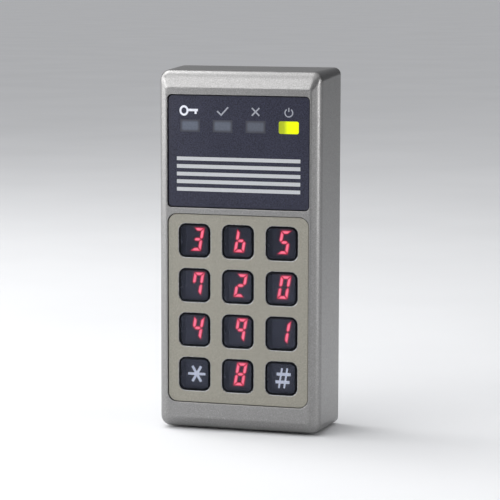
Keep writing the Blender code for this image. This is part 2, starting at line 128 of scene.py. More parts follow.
# ---------------------------------------------------------------- camera
camera = bpy.data.objects.new("camera", bpy.data.cameras.new("camera"))
bpy.context.scene.collection.objects.link(camera)
camera.location = (0.25104, -0.89989, 0.11732)
camera.rotation_euler = (1.44302, -0.00255, 0.27637)
camera.data.sensor_width = 36.0
camera.data.lens = 156.14
camera.data.clip_start, camera.data.clip_end = 0.01, 200.0
camera.data.dof.use_dof = False
bpy.context.scene.camera = camera
bpy.context.scene.view_settings.view_transform = "Standard"
bpy.context.scene.view_settings.look = "None"


# ---------------------------------------------------------------- mesh tools
def depth(d):
    return d - DEPTH


def merged(one, bm):
    if bm is None:
        return one
    scratch = bpy.data.meshes.new("scratch")
    one.to_mesh(scratch)
    one.free()
    bm.from_mesh(scratch)
    bpy.data.meshes.remove(scratch)
    return bm


def extrude_face(bm, face, by):
    made = bmesh.ops.extrude_face_region(bm, geom=[face])["geom"]
    points = [g for g in made if isinstance(g, bmesh.types.BMVert)]
    bmesh.ops.translate(bm, vec=by, verts=points)
    end = next(g for g in made if isinstance(g, bmesh.types.BMFace))
    bmesh.ops.delete(bm, geom=[face], context="FACES_ONLY")
    return end


def extrude_front(bm, steps):
    bm.faces.ensure_lookup_table()
    front = min(bm.faces, key=lambda f: f.calc_center_median().y)
    for _ in range(steps):
        front = extrude_face(bm, front, (0, -2, 0))


def lofted(sections, seg=8, bm=None):
    """A solid through rounded rectangles (d, x0, x1, z0, z1, r), wall side first."""
    one = bmesh.new()
    bmesh.ops.create_cube(one, size=2.0)
    along = [e for e in one.edges if abs(e.verts[0].co.y - e.verts[1].co.y) > 1]
    bmesh.ops.bevel(one, geom=along, offset=0.5, segments=seg, profile=0.5, affect="EDGES")
    extrude_front(one, len(sections) - 2)
    for v in one.verts:
        d, x0, x1, z0, z1, r = sections[round((1 - v.co.y) / 2)]
        sx, sz = (1 if v.co.x > 0 else -1), (1 if v.co.z > 0 else -1)
        arc = ((v.co.x - sx * 0.5) / 0.5, (v.co.z - sz * 0.5) / 0.5)
        cx = x1 - r if sx > 0 else x0 + r
        cz = z1 - r if sz > 0 else z0 + r
        v.co = (cx + arc[0] * r, depth(d), cz + arc[1] * r)
    return merged(one, bm)


def turned(sections, n=32, x=0.0, z=0.0, bm=None):
    """A round solid through circles (d, r) about an axis along Y."""
    one = bmesh.new()
    bmesh.ops.create_cone(one, cap_ends=True, segments=n, radius1=1, radius2=1, depth=2)
    turn = [(v, v.co.copy()) for v in one.verts]
    for v, co in turn:
        v.co = (co.x, co.z, co.y)
    bmesh.ops.recalc_face_normals(one, faces=one.faces)
    extrude_front(one, len(sections) - 2)
    for v in one.verts:
        d, r = sections[round((1 - v.co.y) / 2)]
        v.co = (x + v.co.x * r, depth(d), z + v.co.z * r)
    return merged(one, bm)


def upright(sections, d, x=0.0, n=32, bm=None):
    """A round solid about an axis along Z, through circles (z, r) going up."""
    one = bmesh.new()
    bmesh.ops.create_cone(one, cap_ends=True, segments=n, radius1=1, radius2=1, depth=2)
    one.faces.ensure_lookup_table()
    top = max(one.faces, key=lambda f: f.calc_center_median().z)
    for _ in range(len(sections) - 2):
        top = extrude_face(one, top, (0, 0, 2))
    for v in one.verts:
        z, r = sections[round((v.co.z + 1) / 2)]
        v.co = (x + v.co.x * r, depth(d) + v.co.y * r, z)
    return merged(one, bm)


def block(x0, x1, d0, d1, z0, z1, bm=None, edge=0.0):
    one = bmesh.new()
    made = bmesh.ops.create_cube(one, size=1.0)["verts"]
    bmesh.ops.scale(one, vec=(x1 - x0, d1 - d0, z1 - z0), verts=made)
    bmesh.ops.translate(one, vec=((x0 + x1) / 2, depth((d0 + d1) / 2), (z0 + z1) / 2), verts=made)
    if edge:
        bmesh.ops.bevel(one, geom=one.edges[:], offset=edge, segments=3, profile=0.5, affect="EDGES")
    return merged(one, bm)


def front_round(d, x0, x1, z0, z1, r, radius, steps=6):
    out = []
    for i in range(steps + 1):
        a = math.pi / 2 * i / steps
        inset = radius * (1 - math.cos(a))
        fore = radius * math.sin(a)
        out.append((d + radius - fore, x0 + inset, x1 - inset, z0 + inset, z1 - inset, max(r - inset, 0.25)))
    return out


def ridge(a, b, c, radius, steps):
    keys = range(6)
    near = []
    for end in (a, c):
        run = math.hypot(end[0] - b[0], end[2] - b[2])
        near.append(tuple(b[k] + (end[k] - b[k]) * radius / run for k in keys))
    out = []
    for i in range(steps + 1):
        t = i / steps
        out.append(tuple((1 - t) ** 2 * near[0][k] + 2 * t * (1 - t) * b[k] + t**2 * near[1][k] for k in keys))
    return out


def flare(x0, x1, z0, z1, r, d, radius, through, steps=5, front=-2.0):
    """Sections of a cutter whose front edge leaves a round of that radius round a hole in a face at depth d."""
    out = [(through, x0, x1, z0, z1, r)]
    for i in range(steps + 1):
        a = math.pi / 2 * i / steps
        grow = radius * (1 - math.cos(a))
        out.append((d + radius - radius * math.sin(a), x0 - grow, x1 + grow, z0 - grow, z1 + grow, r + grow))
    last = out[-1]
    out.append((front, *last[1:]))
    return out


def ribbon(bm, points, width, d0, d1, closed=False):
    """A flat stroke of constant width along points (x, z), from depth d0 to d1."""
    n = len(points)
    sides = []
    for i, p in enumerate(points):
        before = points[i - 1] if (closed or i > 0) else None
        after = points[(i + 1) % n] if (closed or i < n - 1) else None
        directions = []
        for a, b in ((before, p), (p, after)):
            if a is None or b is None:
                continue
            run = math.hypot(b[0] - a[0], b[1] - a[1])
            directions.append(((b[0] - a[0]) / run, (b[1] - a[1]) / run))
        tx = sum(q[0] for q in directions) / len(directions)
        tz = sum(q[1] for q in directions) / len(directions)
        size = tx * tx + tz * tz
        nx, nz = -tz / size, tx / size
        sides.append([(p[0] + s * nx * width / 2, p[1] + s * nz * width / 2) for s in (1, -1)])
    rings = []
    for left, right in sides:
        rings.append([
            bm.verts.new((left[0], depth(d0), left[1])),
            bm.verts.new((right[0], depth(d0), right[1])),
            bm.verts.new((right[0], depth(d1), right[1])),
            bm.verts.new((left[0], depth(d1), left[1])),
        ])
    pairs = [(rings[i], rings[(i + 1) % n]) for i in range(n if closed else n - 1)]
    for a, b in pairs:
        for k in range(4):
            bm.faces.new((a[k], a[(k + 1) % 4], b[(k + 1) % 4], b[k]))
    if not closed:
        bm.faces.new(rings[0][::-1])
        bm.faces.new(rings[-1])
    return bm


def inset_outline(outline, by):
    """The convex outline with every side moved inwards."""
    n = len(outline)
    area = sum(outline[i][0] * outline[(i + 1) % n][1] - outline[(i + 1) % n][0] * outline[i][1] for i in range(n))
    turn = 1 if area > 0 else -1
    lines = []
    for i in range(n):
        (x0, z0), (x1, z1) = outline[i], outline[(i + 1) % n]
        run = math.hypot(x1 - x0, z1 - z0)
        nx, nz = -(z1 - z0) / run * turn, (x1 - x0) / run * turn
        lines.append((nx, nz, nx * x0 + nz * z0 + by))
    out = []
    for i in range(n):
        a, b = lines[i - 1], lines[i]
        det = a[0] * b[1] - a[1] * b[0]
        out.append(((a[2] * b[1] - b[2] * a[1]) / det, (a[0] * b[2] - b[0] * a[2]) / det))
    return out


def glowing_prism(bm, layer, outline, d0, d1, rings):
    """A thin prism whose front carries rings of inset outlines; rings are (inset, glow)."""
    n = len(outline)
    loops = [[(bm.verts.new((x, depth(d1), z)), rings[0][1]) for x, z in outline]]
    for by, glow in rings:
        loops.append([(bm.verts.new((x, depth(d0), z)), glow) for x, z in inset_outline(outline, by)])
    for loop in loops:
        for v, glow in loop:
            v[layer] = glow
    for a, b in zip(loops, loops[1:]):
        for i in range(n):
            j = (i + 1) % n
            bm.faces.new((a[i][0], a[j][0], b[j][0], b[i][0]))
    bm.faces.new([v for v, _ in loops[-1]])
    bm.faces.new([v for v, _ in loops[0]][::-1])


def piece(name, bm, mat, body=HOUSING, replaces=(), smooth=30.0, weighted=False, at=(0.0, 0.0)):
    """A finished piece from bm, whose points are in millimetres."""
    bmesh.ops.translate(bm, vec=(at[0], 0, at[1]), verts=bm.verts)
    bmesh.ops.recalc_face_normals(bm, faces=bm.faces)
    bmesh.ops.scale(bm, vec=(MM, MM, MM), verts=bm.verts)
    mesh = bpy.data.meshes.new(name)
    bm.to_mesh(mesh)
    bm.free()
    obj = bpy.data.objects.new(name, mesh)
    bpy.context.scene.collection.objects.link(obj)
    for one in mat if isinstance(mat, (list, tuple)) else [mat]:
        if one:
            mesh.materials.append(one)
    if smooth:
        mesh.shade_smooth()
        mesh.set_sharp_from_angle(angle=math.radians(smooth))
    if weighted:
        weigh(obj)
    if body:
        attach(obj, body)
    if replaces:
        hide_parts(*replaces)
    return obj


def weigh(obj):
    modifier = obj.modifiers.new("weighted", "WEIGHTED_NORMAL")
    modifier.keep_sharp = True
    modifier.weight = 80


def boolean(obj, bm, operation="DIFFERENCE"):
    """Applies one Boolean to obj at once and drops its tool."""
    tool = piece("tool", bm, None, body=None)
    modifier = obj.modifiers.new("cut", "BOOLEAN")
    modifier.operation = operation
    modifier.solver = "EXACT"
    modifier.object = tool
    bpy.context.view_layer.update()
    graph = bpy.context.evaluated_depsgraph_get()
    mesh = bpy.data.meshes.new_from_object(obj.evaluated_get(graph))
    obj.modifiers.clear()
    old = obj.data
    obj.data = mesh
    bpy.data.meshes.remove(old)
    gone = tool.data
    bpy.data.objects.remove(tool, do_unlink=True)
    bpy.data.meshes.remove(gone)
    return obj


def resmooth(obj, angle=30.0):
    obj.data.shade_smooth()
    obj.data.set_sharp_from_angle(angle=math.radians(angle))
    return obj


# ---------------------------------------------------------------- material tools
class Mat:
    """A Principled material with a few helpers for its node tree."""

    def __init__(self, name, rough=0.4, metal=0.0, **sockets):
        self.mat = bpy.data.materials.new(name)
        self.mat.use_nodes = True
        self.nt = self.mat.node_tree
        self.shader = self.nt.nodes["Principled BSDF"]
        self.set("Roughness", rough)
        self.set("Metallic", metal)
        for key, value in sockets.items():
            self.set(key.replace("_", " "), value)
        self.coord = self.nt.nodes.new("ShaderNodeTexCoord").outputs["Object"]
        self.bumped = None

    def set(self, name, value):
        socket = self.shader.inputs[name]
        if isinstance(value, bpy.types.NodeSocket):
            self.nt.links.new(value, socket)
        elif isinstance(value, tuple) and len(value) == 3 and socket.type == "RGBA":
            socket.default_value = (*value, 1.0)
        else:
            socket.default_value = value

    def stretched(self, scale):
        node = self.nt.nodes.new("ShaderNodeMapping")
        node.inputs["Scale"].default_value = scale
        self.nt.links.new(self.coord, node.inputs["Vector"])
        return node.outputs[0]

    def noise(self, scale, detail=2.0, rough=0.5, coord=None, distort=0.0):
        node = self.nt.nodes.new("ShaderNodeTexNoise")
        node.inputs["Scale"].default_value = scale
        node.inputs["Detail"].default_value = detail
        node.inputs["Roughness"].default_value = rough
        node.inputs["Distortion"].default_value = distort
        self.nt.links.new(coord or self.coord, node.inputs["Vector"])
        return node.outputs["Fac"]

    def cells(self, scale, output="Color", coord=None, feature="F1"):
        node = self.nt.nodes.new("ShaderNodeTexVoronoi")
        node.feature = feature
        node.inputs["Scale"].default_value = scale
        self.nt.links.new(coord or self.coord, node.inputs["Vector"])
        return node.outputs[output]

    def ramp(self, value, *stops):
        """stops are (position, colour or number)."""
        node = self.nt.nodes.new("ShaderNodeValToRGB")
        band = node.color_ramp
        while len(band.elements) < len(stops):
            band.elements.new(0.5)
        for element, (position, colour) in zip(band.elements, stops):
            element.position = position
            if isinstance(colour, (int, float)):
                colour = (colour, colour, colour)
            element.color = (*colour, 1.0)
        self.nt.links.new(value, node.inputs["Fac"])
        return node.outputs["Color"]

    def mix(self, factor, a, b, kind="MIX"):
        node = self.nt.nodes.new("ShaderNodeMix")
        node.data_type = "RGBA"
        node.blend_type = kind
        for socket, value in ((node.inputs["Factor"], factor), (node.inputs[6], a), (node.inputs[7], b)):
            if isinstance(value, bpy.types.NodeSocket):
                self.nt.links.new(value, socket)
            elif isinstance(value, tuple):
                socket.default_value = (*value, 1.0)
            else:
                socket.default_value = value
        return node.outputs[2]

    def bump(self, height, strength, distance):
        node = self.nt.nodes.new("ShaderNodeBump")
        node.inputs["Strength"].default_value = strength
        node.inputs["Distance"].default_value = distance * MM
        self.nt.links.new(height, node.inputs["Height"])
        if self.bumped is not None:
            self.nt.links.new(self.bumped, node.inputs["Normal"])
        self.bumped = node.outputs["Normal"]
        self.nt.links.new(self.bumped, self.shader.inputs["Normal"])

    def attribute(self, name):
        node = self.nt.nodes.new("ShaderNodeAttribute")
        node.attribute_type = "GEOMETRY"
        node.attribute_name = name
        return node.outputs["Fac"]

    def axis(self, which, low, high):
        """0 to 1 along one object axis, between two places in millimetres."""
        split = self.nt.nodes.new("ShaderNodeSeparateXYZ")
        self.nt.links.new(self.coord, split.inputs[0])
        node = self.nt.nodes.new("ShaderNodeMapRange")
        node.inputs["From Min"].default_value = low * MM
        node.inputs["From Max"].default_value = high * MM
        self.nt.links.new(split.outputs["XYZ".index(which)], node.inputs["Value"])
        return node.outputs[0]


def metal_paint(name, dark, light, rough, metal, grain=3200.0, sparkle=0.5, **sockets):
    """Metallic paint: flakes of slightly different brightness in a fine orange peel."""
    m = Mat(name, metal=metal, **sockets)
    flakes = m.ramp(m.cells(grain), (0.1, dark), (0.9, light))
    sand = m.ramp(m.noise(grain * 0.55, 3.0, 0.65), (0.36, dark), (0.64, light))
    slow = m.mix(0.55, flakes, sand)
    speck = m.ramp(m.noise(grain * 0.8, 1.0), (0.60, 0.0), (0.70, 1.0))
    bright = m.mix(speck, slow, tuple(min(1.0, c * 1.4) for c in light))
    m.set("Base Color", m.mix(sparkle, slow, bright))
    m.set("Roughness", m.ramp(m.noise(grain * 0.45, 3.0), (0.3, rough - 0.05), (0.7, rough + 0.06)))
    m.bump(m.noise(grain * 0.5, 2.0, 0.6), 0.2, 0.02)
    return m.mat


def moulded(name, colour, rough=0.45, grain=2600.0, vary=0.25, **sockets):
    """Moulded plastic or rubber with a spark-eroded grain."""
    m = Mat(name, **sockets)
    low = tuple(c * (1 - vary) for c in colour)
    high = tuple(min(1.0, c * (1 + vary)) for c in colour)
    m.set("Base Color", m.mix(0.4, m.ramp(m.noise(grain, 2.0), (0.35, low), (0.65, high)),
                              m.ramp(m.noise(90.0, 3.0), (0.3, low), (0.7, high))))
    m.set("Roughness", m.ramp(m.noise(grain * 0.4, 3.0), (0.3, max(rough - 0.08, 0.02)), (0.7, rough + 0.08)))
    m.bump(m.noise(grain, 3.0, 0.6), 0.25, 0.02)
    return m.mat


def plated(name, dark, light, rough=0.3, stretch=(1.0, 1.0, 1.0), grain=1400.0):
    """Bare or plated metal with fine drawing marks and a faint mottle."""
    m = Mat(name, metal=1.0)
    lines = m.noise(grain, 3.0, 0.6, coord=m.stretched(stretch))
    m.set("Base Color", m.mix(0.5, m.ramp(lines, (0.3, dark), (0.7, light)), m.ramp(m.cells(260.0, "Distance"), (0.0, light), (0.9, dark))))
    m.set("Roughness", m.ramp(lines, (0.25, rough - 0.07), (0.75, rough + 0.12)))
    m.bump(lines, 0.12, 0.02)
    return m.mat


SILVER = metal_paint("silver_paint", (0.220, 0.2175, 0.2155), (0.325, 0.3215, 0.3185), 0.34, 0.94, sparkle=0.4)
BEIGE = metal_paint("beige_paint", (0.228, 0.217, 0.182), (0.312, 0.299, 0.252), 0.46, 0.3, grain=3600.0, sparkle=0.3, Coat_Weight=0.3, Coat_Roughness=0.25)
# black walls for the key holes: painted shade in the gaps round the keys
HOLE_WALL_SHADE = moulded("hole_wall_painted_shade", (0.008, 0.008, 0.011), 0.45, Specular_IOR_Level=0.15)
# lighter, glossier paint for the rounds of the key holes: a painted highlight on their rims
HOLE_ROUND_HIGHLIGHT = metal_paint("hole_round_painted_highlight", (0.27, 0.275, 0.29), (0.37, 0.375, 0.39), 0.26, 0.9, grain=3600.0, sparkle=0.2)

w = Mat("smoked_window", Specular_IOR_Level=0.3, Coat_Weight=0.22, Coat_Roughness=0.12)
weave = w.noise(1900.0, 3.0, 0.65)
w.set("Base Color", w.mix(0.4, w.ramp(weave, (0.36, (0.001, 0.002, 0.010)), (0.64, (0.036, 0.038, 0.071))),
                          w.ramp(w.noise(60.0, 3.0), (0.3, (0.015, 0.016, 0.032)), (0.7, (0.022, 0.023, 0.043)))))
w.set("Roughness", w.ramp(w.noise(1800.0, 3.0), (0.3, 0.26), (0.7, 0.36)))
w.bump(weave, 0.15, 0.015)
WINDOW = w.mat

k = Mat("smoked_key", metal=0.0, Transmission_Weight=1.0, IOR=1.49, Specular_IOR_Level=0.36, Specular_Tint=(0.68, 0.74, 1.0))
k.set("Base Color", k.ramp(k.noise(700.0, 3.0), (0.3, (0.31, 0.32, 0.37)), (0.7, (0.36, 0.37, 0.42))))
k.set("Roughness", k.ramp(k.noise(1500.0, 2.0), (0.3, 0.02), (0.7, 0.05)))
k.bump(k.noise(900.0, 2.0), 0.03, 0.01)
SMOKED_KEY = k.mat

KEY_SKIRT = moulded("key_skirt", (0.006, 0.007, 0.010), 0.4, Specular_IOR_Level=0.1)

g = Mat("lit_segments", rough=0.4)
level = g.attribute("glow")
g.set("Base Color", g.ramp(g.noise(2400.0, 2.0), (0.3, (0.20, 0.012, 0.018)), (0.7, (0.28, 0.018, 0.026))))
g.set("Emission Color", g.ramp(level, (0.0, (0.0, 0.0, 0.0)), (0.28, (0.05, 0.0015, 0.004)), (0.40, (0.50, 0.014, 0.040)), (0.62, (0.95, 0.050, 0.10)), (1.0, (1.0, 0.20, 0.27))))
g.set("Emission Strength", 3.1)
LIT_SEGMENTS = g.mat

# the face round the digits glows red near the lit segments: a painted glow of the light the segments spill
g = Mat("display_painted_glow", rough=0.5)
level = g.attribute("glow")
g.set("Base Color", g.ramp(g.noise(1900.0, 3.0), (0.3, (0.010, 0.006, 0.008)), (0.7, (0.020, 0.011, 0.014))))
g.set("Emission Color", g.ramp(level, (0.0, (0.0, 0.0, 0.0)), (0.35, (0.006, 0.0002, 0.0006)), (0.7, (0.04, 0.001, 0.003)), (1.0, (0.11, 0.002, 0.008))))
g.set("Emission Strength", 3.6)
DISPLAY_FACE_GLOW = g.mat


# Print that glows by its own emission though no lamp lights it: a painted glow on the key symbols, window stripes and
# marks.
def print_with_painted_glow(name, low, high, glow, strength):
    m = Mat(name, rough=0.5)
    m.set("Base Color", m.ramp(m.noise(2200.0, 2.0), (0.3, low), (0.7, high)))
    m.set("Emission Color", m.ramp(m.noise(420.0, 3.0), (0.2, tuple(c * 0.92 for c in glow)), (0.8, glow)))
    m.set("Emission Strength", strength)
    m.bump(m.noise(2600.0, 2.0), 0.12, 0.01)
    return m.mat


KEY_PRINT = print_with_painted_glow("key_print", (0.50, 0.52, 0.58), (0.62, 0.64, 0.70), (0.86, 0.90, 0.95), 1.5)
STRIPE_PRINT = print_with_painted_glow("window_print", (0.38, 0.39, 0.405), (0.45, 0.46, 0.475), (0.88, 0.90, 1.0), 0.075)
MARK_PRINT = print_with_painted_glow("mark_print", (0.50, 0.51, 0.56), (0.62, 0.63, 0.68), (0.80, 0.84, 1.0), 0.22)
DIM_PRINT = print_with_painted_glow("dim_print", (0.22, 0.23, 0.27), (0.30, 0.31, 0.35), (0.60, 0.64, 0.80), 0.06)

DISPLAY_BODY = moulded("display_body", (0.022, 0.016, 0.018), 0.45)
SILICONE = moulded("silicone", (0.045, 0.045, 0.05), 0.7, vary=0.2)
BLACK = moulded("black_plastic", (0.018, 0.018, 0.02), 0.45)
RUBBER = moulded("rubber", (0.025, 0.025, 0.026), 0.75, grain=1500.0)
GREEN_BLOCK = moulded("terminal_green", (0.02, 0.16, 0.06), 0.42)
LED_GLASS = moulded("led_lens", (0.45, 0.47, 0.42), 0.15, vary=0.1, Transmission_Weight=0.6, IOR=1.5)
UNLIT_LENS = moulded("indicator_unlit", (0.32, 0.34, 0.37), 0.4, vary=0.12)
ALUMINIUM = plated("aluminium_can", (0.62, 0.62, 0.63), (0.80, 0.80, 0.81), 0.28, (1, 1, 14))
BRASS = plated("nickel_brass", (0.55, 0.52, 0.42), (0.72, 0.69, 0.58), 0.26, (1, 12, 1))
STEEL = plated("steel", (0.48, 0.48, 0.50), (0.68, 0.68, 0.70), 0.26, (9, 9, 1))
BASE_STEEL = plated("base_steel", (0.40, 0.405, 0.42), (0.58, 0.585, 0.60), 0.36, (1, 1, 0.12), 2200.0)

b = Mat("circuit_board", rough=0.35, Coat_Weight=0.4, Coat_Roughness=0.15)
fibre = b.noise(1600.0, 2.0, coord=b.stretched((1.0, 1.0, 0.15)))
tracks = b.ramp(b.cells(230.0, "Distance", feature="DISTANCE_TO_EDGE"), (0.05, (0.012, 0.10, 0.035)), (0.16, (0.006, 0.055, 0.02)))
b.set("Base Color", b.mix(0.25, tracks, b.ramp(fibre, (0.3, (0.006, 0.05, 0.02)), (0.7, (0.02, 0.13, 0.05)))))
b.bump(fibre, 0.1, 0.02)
BOARD = b.mat

p = Mat("indicator_lit", rough=0.4, Specular_IOR_Level=0.1)
p.set("Base Color", p.ramp(p.noise(1800.0, 2.0), (0.3, (0.22, 0.25, 0.003)), (0.7, (0.26, 0.29, 0.004))))
p.set("Emission Color", p.ramp(p.axis("X", 17.2, 26.4), (0.0, (0.13, 0.17, 0.015)), (0.28, (0.22, 0.27, 0.022)), (0.44, (0.62, 0.72, 0.008)), (0.8, (0.70, 0.76, 0.0)), (1.0, (0.66, 0.72, 0.0))))
p.set("Emission Strength", 1.0)
INDICATOR_LIT = p.mat

# The rest of the CAD nodes keep their shapes and take these finishes.
FINISHES = {
    "display_body": DISPLAY_BODY,
    "silicone": SILICONE,
    "circuit_board": BOARD,
    "black_plastic": BLACK,
    "indicator_unlit": UNLIT_LENS,
    "indicator_lit": INDICATOR_LIT,
    "led_lens": LED_GLASS,
    "aluminium_can": ALUMINIUM,
    "terminal_green": GREEN_BLOCK,
    "nickel_brass": BRASS,
    "steel": STEEL,
    "rubber": RUBBER,
    "base_steel": BASE_STEEL,
    "silver_paint": SILVER,
    "beige_paint": BEIGE,
    "smoked_window": WINDOW,
    "smoked_key": SMOKED_KEY,
}


def finish_of(name):
    if name.startswith("display_"):
        return "display_body"
    if name.startswith("indicator_lens"):
        return "indicator_lit" if name.endswith("power") else "indicator_unlit"
    if name.startswith("indicator_led"):
        return "led_lens"
    if name.startswith("spacer"):
        return "nickel_brass"
    if name.startswith(("board_screw", "cover_screw")):
        return "steel"
    if name.startswith("key_row"):
        return "smoked_key"
    return {
        "front_cover": "silver_paint", "window_panel": "smoked_window", "keypad_bezel": "beige_paint",
        "key_mat": "silicone", "key_pcb": "circuit_board", "control_pcb": "circuit_board",
        "capacitor": "aluminium_can", "terminal_block": "terminal_green", "base_plate": "base_steel",
        "cable_grommet": "rubber",
    }.get(name, "black_plastic")


for name, node in frame["nodes"].items():
    node.data.materials.clear()
    node.data.materials.append(FINISHES[finish_of(name)])

# ---------------------------------------------------------------- front cover
back = (COVER_RIM_D, -BACK_X, BACK_X, -BACK_Z, BACK_Z, BACK_R)
rim = [(COVER_RIM_D, -BACK_X + 0.25, BACK_X - 0.25, -BACK_Z + 0.25, BACK_Z - 0.25, BACK_R - 0.25),
       (COVER_RIM_D - 0.08, -BACK_X + 0.07, BACK_X - 0.07, -BACK_Z + 0.07, BACK_Z - 0.07, BACK_R - 0.07),
       (COVER_RIM_D - 0.28, -BACK_X, BACK_X, -BACK_Z, BACK_Z, BACK_R)]
edge = (BAND_D, -EDGE_X, EDGE_X, -EDGE_Z, EDGE_Z, EDGE_R)
flat = (0.0, -FLAT_X, FLAT_X, FLAT_LOW, FLAT_TOP, FLAT_R)
middle = (0.0, -20.0, 20.0, -60.0, 60.0, 0.9)
outer = rim + ridge(back, edge, flat, RIDGE_ROUND, 8) + ridge(edge, flat, middle, FLAT_ROUND, 5)
cover = piece("cover_shell", lofted(outer, 14), SILVER, body=None)
core = [
    (DEPTH + 1, -CORE_BACK_X, CORE_BACK_X, -CORE_BACK_Z, CORE_BACK_Z, 2.0),
    (CORE_EDGE_D, -CORE_EDGE_X, CORE_EDGE_X, -CORE_EDGE_Z, CORE_EDGE_Z, 2.2),
    (CORE_FLAT_D, -CORE_FLAT_X, CORE_FLAT_X, CORE_FLAT_LOW, CORE_FLAT_TOP, 1.6),
]
boolean(cover, lofted(core, 8))
bosses = bmesh.new()
for bx, bz in BOSSES:
    turned([(BOSS_D, BOSS_R - 0.3), (BOSS_D - 0.3, BOSS_R), (2.1, BOSS_R)], 32, bx, bz, bosses)
block(-5, 5, 19.5, 27.0, -75.3, -73.0, bosses)
boolean(cover, bosses, "UNION")
holes = bmesh.new()
lofted(flare(-WIN_X, WIN_X, WIN_LOW, WIN_TOP, WIN_R, 0.0, 0.3, 6.0), 10, holes)
lofted(flare(-BEZ_X, BEZ_X, BEZ_LOW, BEZ_TOP, BEZ_R, 0.0, 0.3, 6.0), 10, holes)
for bx, bz in BOSSES:
    turned([(BOSS_D + 1, BOSS_HOLE_R), (6.5, BOSS_HOLE_R)], 24, bx, bz, holes)
for side in (-1, 1):
    block(side * 18 - 4.5, side * 18 + 4.5, 25.1, 27.5, 73.0, 75.9, holes)
boolean(cover, holes)
boolean(cover, upright([(-78.5, 3.5), (-76.9, 3.35), (-76.5, 3.1), (-74.75, 3.1), (-74.75, 1.85), (-71.0, 1.85)], COVER_SCREW_D))
resmooth(cover, 35)
weigh(cover)
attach(cover, HOUSING)
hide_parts("front_cover")

# ---------------------------------------------------------------- window
panel_face = (-WIN_X + 0.3, WIN_X - 0.3, WIN_LOW + 0.3, WIN_TOP - 0.3, WIN_R - 0.3)
panel_flange = (-PANEL_FLANGE_X, PANEL_FLANGE_X, PANEL_FLANGE_LOW, PANEL_FLANGE_TOP, 1.5)
piece(
    "window_sheet",
    lofted([(PANEL_BACK_D, *panel_flange), (PANEL_STEP_D, *panel_flange), (PANEL_STEP_D, *panel_face)]
           + front_round(PANEL_D, *panel_face, 0.25, 4), 10),
    WINDOW, replaces=("window_panel",), weighted=True,
)
INK_D, INK_BACK_D = PANEL_D - 0.035, PANEL_D - 0.01

stripes = bmesh.new()
for low, high in ((38.45, 40.0), (35.2, 36.8), (31.98, 33.56), (28.77, 30.36), (25.54, 27.11)):
    mid = (low + high) / 2
    ribbon(stripes, [(-26.85, mid), (-9.0, mid), (9.0, mid), (26.85, mid)], high - low, INK_D, INK_BACK_D)
piece("window_stripes", stripes, STRIPE_PRINT, smooth=0)


def arc(cx, cz, rx, rz, a0, a1, steps):
    return [(cx + rx * math.cos(math.radians(a0 + (a1 - a0) * i / steps)),
             cz + rz * math.sin(math.radians(a0 + (a1 - a0) * i / steps))) for i in range(steps + 1)]


# Four small marks above the indicators: key, tick, cross, power.
marks = bmesh.new()
KZ = 59.4
ring = arc(-23.7, KZ, 1.55, 1.75, 0, 360, 28)[:-1]
ribbon(marks, ring, 0.85, INK_D, INK_BACK_D, closed=True)
ribbon(marks, [(-21.9, KZ + 0.25), (-17.6, KZ + 0.25)], 1.0, INK_D, INK_BACK_D)
ribbon(marks, [(-18.6, KZ - 0.28), (-18.6, KZ - 1.35)], 0.95, INK_D, INK_BACK_D)
piece("mark_key", marks, MARK_PRINT, smooth=0)
marks = bmesh.new()
ribbon(marks, [(-9.2, KZ), (-7.4, KZ - 1.6), (-4.4, KZ + 1.7)], 0.62, INK_D, INK_BACK_D)
piece("mark_tick", marks, DIM_PRINT, smooth=0)
marks = bmesh.new()
ribbon(marks, [(5.9, KZ - 1.6), (9.1, KZ + 1.6)], 0.62, INK_D, INK_BACK_D)
cross = piece("mark_cross", marks, DIM_PRINT, body=None, smooth=0)
marks = bmesh.new()
ribbon(marks, [(5.9, KZ + 1.6), (9.1, KZ - 1.6)], 0.62, INK_D, INK_BACK_D)
boolean(cross, marks, "UNION")
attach(cross, HOUSING)
marks = bmesh.new()
ribbon(marks, arc(21.8, KZ - 0.15, 1.65, 1.65, 125, 415, 26), 0.5, INK_D, INK_BACK_D)
ribbon(marks, [(21.8, KZ + 0.25), (21.8, KZ + 1.95)], 0.5, INK_D, INK_BACK_D)
piece("mark_power", marks, DIM_PRINT, smooth=0)

def soft_plate(width, height, nx, nz, d0, d1, glow, at_x=0.0, at_z=0.0):
    """A thin plate whose front is a grid carrying glow(x, z) at its points."""
    bm = bmesh.new()
    layer = bm.verts.layers.float.new("glow")
    front = []
    for j in range(nz + 1):
        line = []
        for i in range(nx + 1):
            x, z = (i / nx - 0.5) * width, (j / nz - 0.5) * height
            v = bm.verts.new((at_x + x, depth(d0), at_z + z))
            v[layer] = glow(x, z)
            line.append(v)
        front.append(line)
    for j in range(nz):
        for i in range(nx):
            bm.faces.new((front[j][i], front[j][i + 1], front[j + 1][i + 1], front[j + 1][i]))
    border = front[0] + [line[-1] for line in front[1:]] + front[-1][-2::-1] + [line[0] for line in front[-2:0:-1]]
    rear = [bm.verts.new((v.co.x, depth(d1), v.co.z)) for v in border]
    for i in range(len(border)):
        j = (i + 1) % len(border)
        bm.faces.new((border[i], border[j], rear[j], rear[i]))
    bm.faces.new(rear)
    return bm


